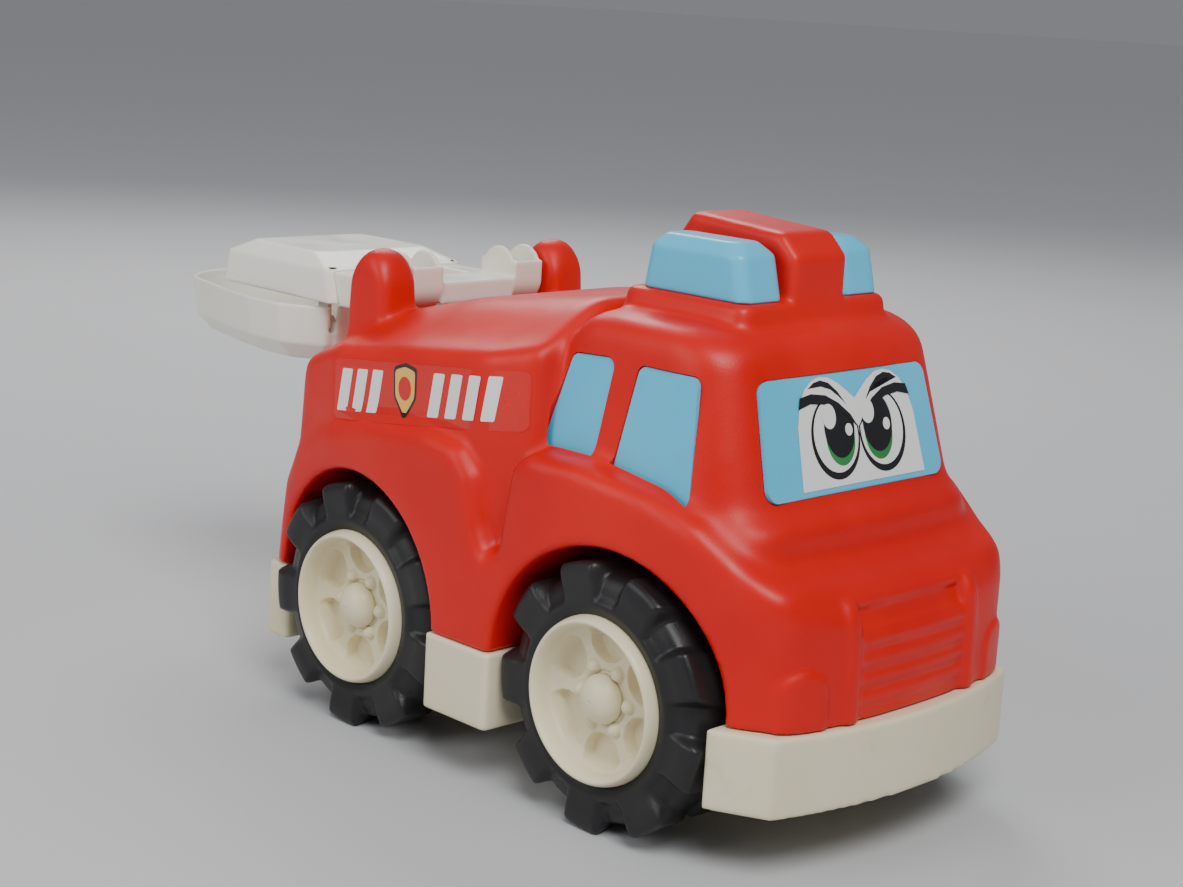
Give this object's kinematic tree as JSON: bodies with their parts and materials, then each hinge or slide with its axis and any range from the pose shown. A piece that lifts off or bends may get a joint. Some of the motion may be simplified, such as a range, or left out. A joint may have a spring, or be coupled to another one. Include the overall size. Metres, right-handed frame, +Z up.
{
  "type": "toy fire engine",
  "caption": "Chunky push-along toy fire engine with free-rolling wheels, warning-light domes, and a tipping rear boom that carries a swinging bucket.",
  "frame": {"origin": "on the ground under the middle of the overall bounding box", "axes": "+X towards the truck's front, +Y towards its left, +Z up"},
  "size_m": [0.68, 0.277, 0.35],
  "materials": {
    "red_plastic": "semi-gloss blow-moulded",
    "cream_plastic": "semi-gloss moulded",
    "sky_blue_plastic": "satin moulded",
    "tyre_black": "semi-gloss blow-moulded",
    "eye_print": "printed vinyl",
    "badge_print": "printed vinyl",
    "steel": "zinc plated"
  },
  "bodies": {
    "root": {"body_shell": "red_plastic", "windshield_panel": "sky_blue_plastic", "eye_sticker": "eye_print", "chassis_tray": "cream_plastic", "front_bumper": "cream_plastic", "rear_bumper": "cream_plastic", "body_screws": "steel", "push_nuts": "steel", "front_axle": "steel", "rear_axle": "steel", "rear_window_right": "sky_blue_plastic", "front_window_right": "sky_blue_plastic", "side_sticker_right": "badge_print", "light_dome_right": "sky_blue_plastic", "side_sill_right": "cream_plastic", "boom_pivot_pin_right": "cream_plastic", "rear_window_left": "sky_blue_plastic", "front_window_left": "sky_blue_plastic", "side_sticker_left": "badge_print", "light_dome_left": "sky_blue_plastic", "side_sill_left": "cream_plastic", "boom_pivot_pin_left": "cream_plastic"},
    "wheel_rear_right": {"tyre_rear_right": "tyre_black", "hub_rear_right": "cream_plastic", "hub_cap_rear_right": "cream_plastic"},
    "wheel_rear_left": {"tyre_rear_left": "tyre_black", "hub_rear_left": "cream_plastic", "hub_cap_rear_left": "cream_plastic"},
    "wheel_front_right": {"tyre_front_right": "tyre_black", "hub_front_right": "cream_plastic", "hub_cap_front_right": "cream_plastic"},
    "wheel_front_left": {"tyre_front_left": "tyre_black", "hub_front_left": "cream_plastic", "hub_cap_front_left": "cream_plastic"},
    "boom": {"boom_frame": "cream_plastic", "boom_hood": "cream_plastic", "bucket_pin_right": "steel", "bucket_pin_left": "steel"},
    "bucket": {"rescue_bucket": "cream_plastic"}
  },
  "joints": [
    {"name": "wheel_rear_right_spin", "type": "hinge", "parent": "root", "child": "wheel_rear_right", "pos_m": [-0.016, -0.1, 0.08], "axis": [0, 1, 0], "continuous": true},
    {"name": "wheel_rear_left_spin", "type": "hinge", "parent": "root", "child": "wheel_rear_left", "pos_m": [-0.016, 0.1, 0.08], "axis": [0, 1, 0], "continuous": true},
    {"name": "wheel_front_right_spin", "type": "hinge", "parent": "root", "child": "wheel_front_right", "pos_m": [0.206, -0.1, 0.08], "axis": [0, 1, 0], "continuous": true},
    {"name": "wheel_front_left_spin", "type": "hinge", "parent": "root", "child": "wheel_front_left", "pos_m": [0.206, 0.1, 0.08], "axis": [0, 1, 0], "continuous": true},
    {"name": "boom_tilt", "type": "hinge", "parent": "root", "child": "boom", "pos_m": [-0.069, 0, 0.277], "axis": [0, 1, 0], "range_deg": [0, 90]},
    {"name": "bucket_swing", "type": "hinge", "parent": "boom", "child": "bucket", "pos_m": [-0.158, 0, 0.237], "axis": [0, 1, 0], "range_deg": [-75, 0]}
  ]
}
